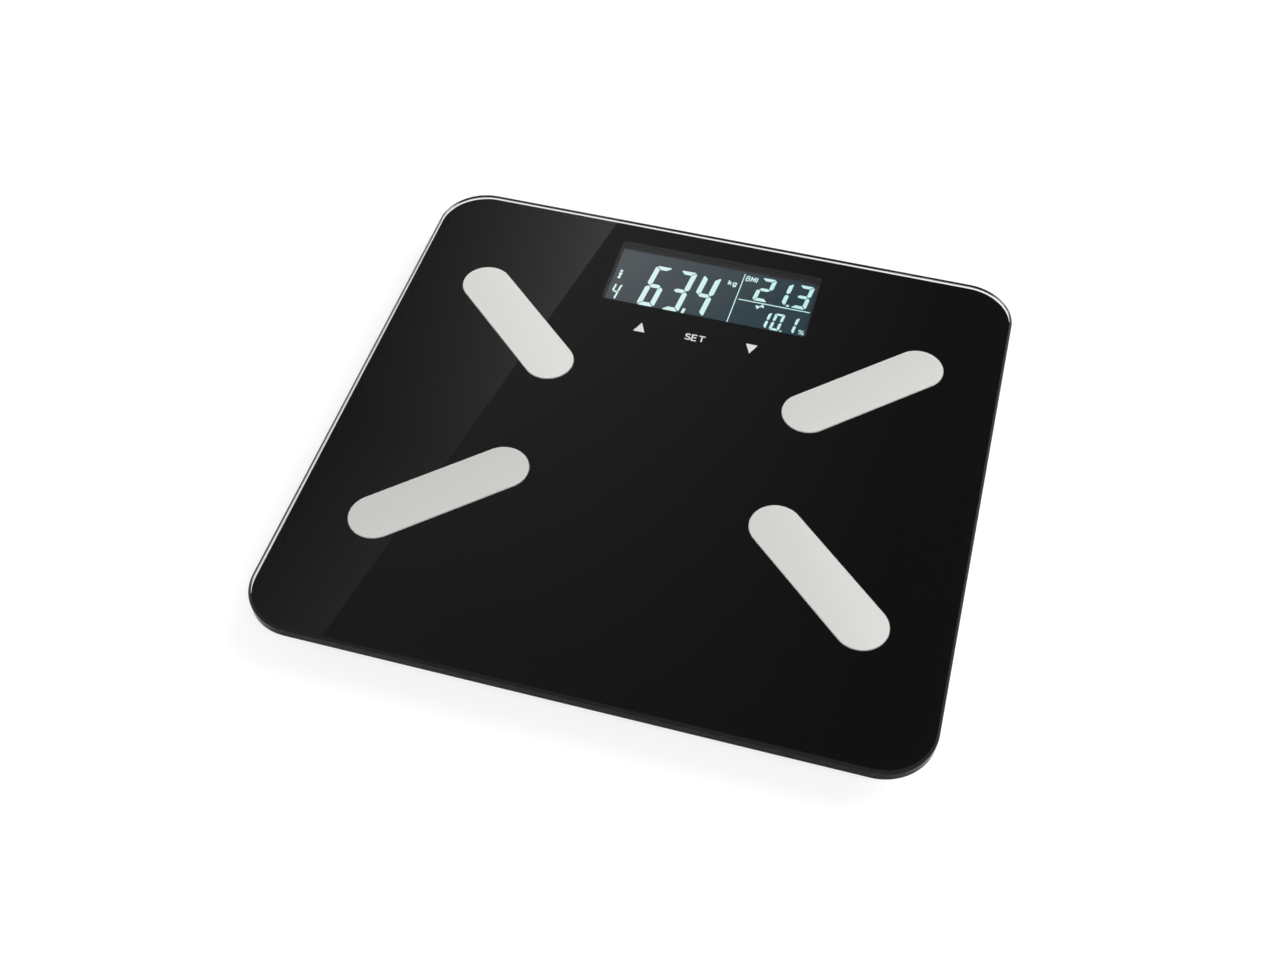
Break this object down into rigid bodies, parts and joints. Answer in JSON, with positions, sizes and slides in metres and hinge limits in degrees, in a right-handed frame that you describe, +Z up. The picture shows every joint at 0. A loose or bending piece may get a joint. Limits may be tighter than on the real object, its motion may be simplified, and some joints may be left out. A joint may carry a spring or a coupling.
{
  "type": "digital bathroom scale",
  "caption": "Flat body scale with a black-backed glass platform, round-ended steel foot electrodes, a segment display under the glass, touch keys and sprung feet.",
  "frame": {"origin": "on the floor under the middle of the glass platform", "axes": "+Z up, +X to the right of a person who reads the display, +Y towards the display edge"},
  "size_m": [0.3, 0.287, 0.0254],
  "materials": {
    "clear_glass": "polished clear safety glass",
    "black_print": "dense black print seen through the glass",
    "electrode_steel": "fine brushed stainless steel",
    "plated_steel": "bright plated steel",
    "tray_plastic": "black moulded plastic with a fine grain",
    "clamp_plastic": "dark grey moulded plastic",
    "button_plastic": "grey moulded plastic",
    "bezel_plastic": "dark grey moulded plastic",
    "pad_rubber": "soft dark rubber",
    "foam_black": "black foam with adhesive",
    "foam_conductive": "conductive foam",
    "strip_rubber": "layered contact rubber",
    "segment_panel": "lit segment panel, grey with pale segments",
    "light_guide": "milky light guide",
    "board_green": "green circuit board",
    "chip_black": "black moulded package",
    "connector_white": "cream moulded connector",
    "capacitor_sleeve": "dark sleeve",
    "gauge_white": "white sealing silicone",
    "cell_sleeve": "plain printed sleeve",
    "lead_red": "red insulation",
    "lead_black": "black insulation",
    "lead_white": "white insulation"
  },
  "bodies": {
    "platform": {"base_tray": "tray_plastic", "batteries": "cell_sleeve", "battery_bridges": "plated_steel", "battery_contact_negative": "plated_steel", "battery_contact_positive": "plated_steel", "battery_lead_negative": "lead_black", "battery_lead_positive": "lead_red", "board_capacitors": "capacitor_sleeve", "board_connectors": "connector_white", "board_screws": "plated_steel", "bonding_tape": "foam_black", "clamp_screws": "plated_steel", "contact_strip": "strip_rubber", "control_chip": "chip_black", "display_bezel": "bezel_plastic", "display_gasket": "foam_black", "electrode_front_left": "electrode_steel", "electrode_front_right": "electrode_steel", "electrode_lead_front_left": "lead_black", "electrode_lead_front_right": "lead_black", "electrode_lead_rear_left": "lead_black", "electrode_lead_rear_right": "lead_black", "electrode_rear_left": "electrode_steel", "electrode_rear_right": "electrode_steel", "electrode_studs": "plated_steel", "glass_platform": "clear_glass", "hinge_pin": "plated_steel", "lcd_backlight": "light_guide", "lcd_panel": "segment_panel", "load_cell_clamp_front_left": "clamp_plastic", "load_cell_clamp_front_right": "clamp_plastic", "load_cell_clamp_rear_left": "clamp_plastic", "load_cell_clamp_rear_right": "clamp_plastic", "load_cell_front_left": "plated_steel", "load_cell_front_right": "plated_steel", "load_cell_lead_front_left": "lead_white", "load_cell_lead_front_right": "lead_white", "load_cell_lead_rear_left": "lead_white", "load_cell_lead_rear_right": "lead_white", "load_cell_rear_left": "plated_steel", "load_cell_rear_right": "plated_steel", "main_board": "board_green", "print_film": "black_print", "strain_gauges": "gauge_white", "touch_post_down": "foam_conductive", "touch_post_set": "foam_conductive", "touch_post_up": "foam_conductive", "unit_switch": "plated_steel"},
    "foot_front_left": {"foot_cap_front_left": "tray_plastic", "foot_pad_front_left": "pad_rubber"},
    "foot_front_right": {"foot_cap_front_right": "tray_plastic", "foot_pad_front_right": "pad_rubber"},
    "foot_rear_left": {"foot_cap_rear_left": "tray_plastic", "foot_pad_rear_left": "pad_rubber"},
    "foot_rear_right": {"foot_cap_rear_right": "tray_plastic", "foot_pad_rear_right": "pad_rubber"},
    "battery_door": {"battery_door": "tray_plastic"},
    "unit_button": {"unit_button": "button_plastic", "switch_plunger": "chip_black"}
  },
  "joints": [
    {"name": "foot_travel_front_left", "type": "slide", "parent": "platform", "child": "foot_front_left", "axis": [0, 0, 1], "range_m": [0, 0.0005], "stiffness_N_per_m": 1200, "springref_m": -0.005, "deforming": ["load_cell_front_left"]},
    {"name": "foot_travel_front_right", "type": "slide", "parent": "platform", "child": "foot_front_right", "axis": [0, 0, 1], "range_m": [0, 0.0005], "stiffness_N_per_m": 1200, "springref_m": -0.005, "deforming": ["load_cell_front_right"]},
    {"name": "foot_travel_rear_left", "type": "slide", "parent": "platform", "child": "foot_rear_left", "axis": [0, 0, 1], "range_m": [0, 0.0005], "stiffness_N_per_m": 1200, "springref_m": -0.005, "deforming": ["load_cell_rear_left"]},
    {"name": "foot_travel_rear_right", "type": "slide", "parent": "platform", "child": "foot_rear_right", "axis": [0, 0, 1], "range_m": [0, 0.0005], "stiffness_N_per_m": 1200, "springref_m": -0.005, "deforming": ["load_cell_rear_right"]},
    {"name": "battery_door_hinge", "type": "hinge", "parent": "platform", "child": "battery_door", "pos_m": [0, -0.00535, 0.0056], "axis": [-1, 0, 0], "range_deg": [0, 95]},
    {"name": "unit_button_press", "type": "slide", "parent": "platform", "child": "unit_button", "axis": [0, 0, 1], "range_m": [0, 0.0005], "stiffness_N_per_m": 30, "springref_m": -0.002}
  ]
}
